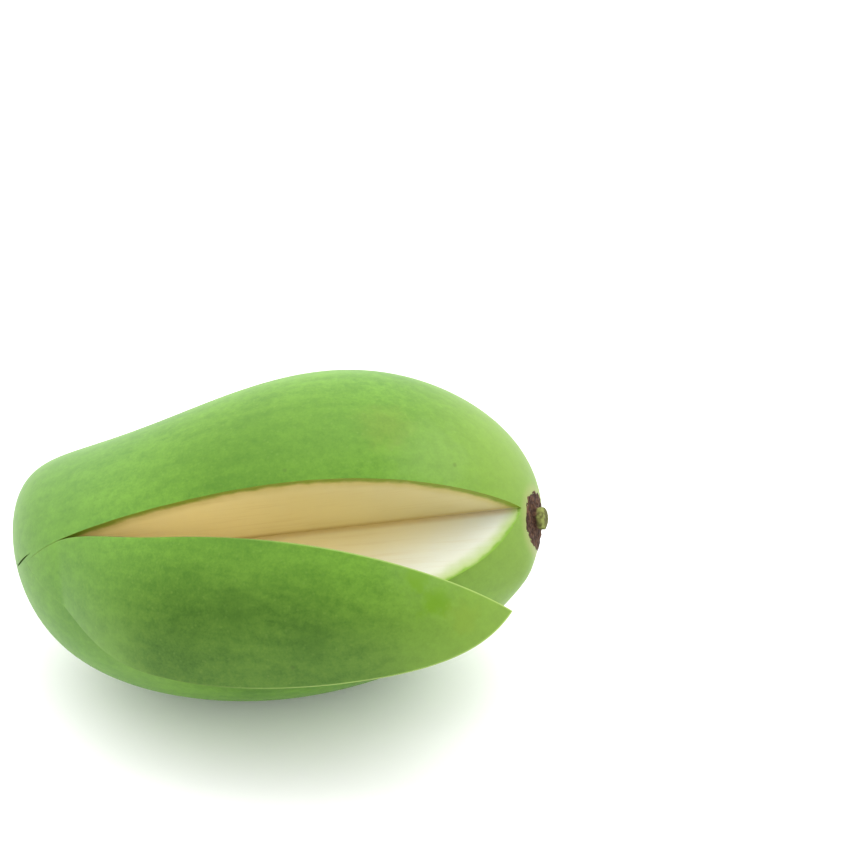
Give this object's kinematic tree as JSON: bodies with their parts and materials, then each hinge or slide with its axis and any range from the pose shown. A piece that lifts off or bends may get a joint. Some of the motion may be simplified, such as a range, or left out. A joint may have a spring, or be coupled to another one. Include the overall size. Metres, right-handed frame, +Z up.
{
  "type": "cut green mango",
  "caption": "Plump green mango resting on its side, with a long wedge cut from its front and laid back in the notch, swung open at the stem end.",
  "frame": {"origin": "on the surface that the fruit rests on, under the middle of the box of the whole", "axes": "+X along the fruit's length towards the stem end, +Z up, and the notch with its slice faces -Y"},
  "size_m": [0.1406, 0.0994, 0.0848],
  "materials": {
    "skin": "satin, with a thin waxy bloom; the cut faces are pale cream flesh",
    "stalk": "rough cork round a dry olive-yellow stub"
  },
  "bodies": {
    "root": {"mango_body": "skin", "cut_slice": "skin", "stem_stub": "stalk"}
  },
  "joints": []
}
